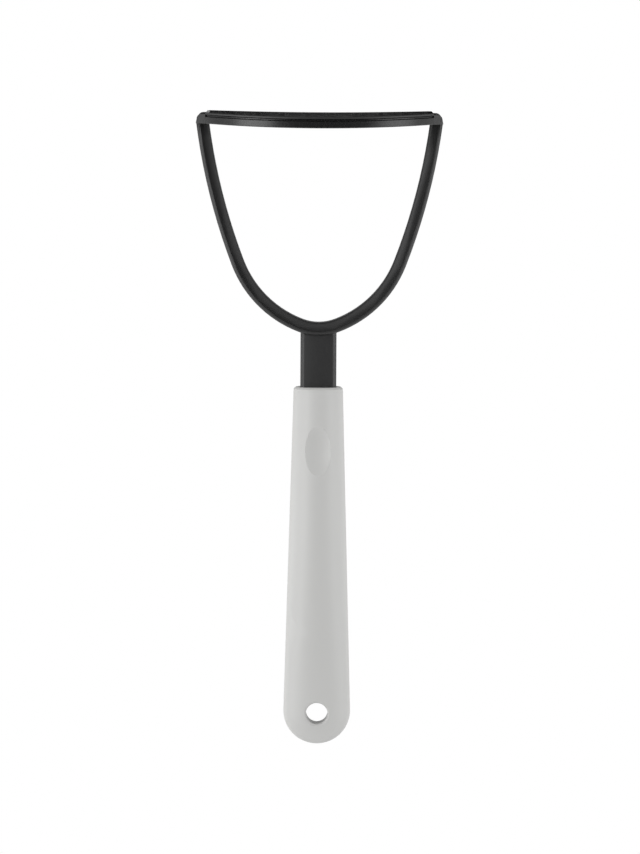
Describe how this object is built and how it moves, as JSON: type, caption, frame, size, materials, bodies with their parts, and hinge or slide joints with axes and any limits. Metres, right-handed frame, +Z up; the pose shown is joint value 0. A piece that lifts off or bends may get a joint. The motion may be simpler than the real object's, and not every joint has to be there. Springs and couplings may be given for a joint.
{
  "type": "potato masher",
  "caption": "Black nylon potato masher with a bowed, pierced plate under a looped arm, and a light grey tapered handle with a thumb dimple and a hanging hole.",
  "frame": {"origin": "centre of the base, on the plane of the two narrow flats at the ends of the mashing face", "axes": "+Z up the handle, X along the head, Y from front to back, with the thumb dimple on the front at -Y"},
  "size_m": [0.102, 0.074, 0.2638],
  "materials": {
    "plate_nylon": "black moulded nylon, smooth and slightly glossy",
    "yoke_nylon": "black moulded nylon with a fine matt grain",
    "handle_plastic": "light grey moulded plastic, satin matt"
  },
  "bodies": {
    "root": {"mashing_plate": "plate_nylon", "yoke": "yoke_nylon", "handle": "handle_plastic"}
  },
  "joints": []
}
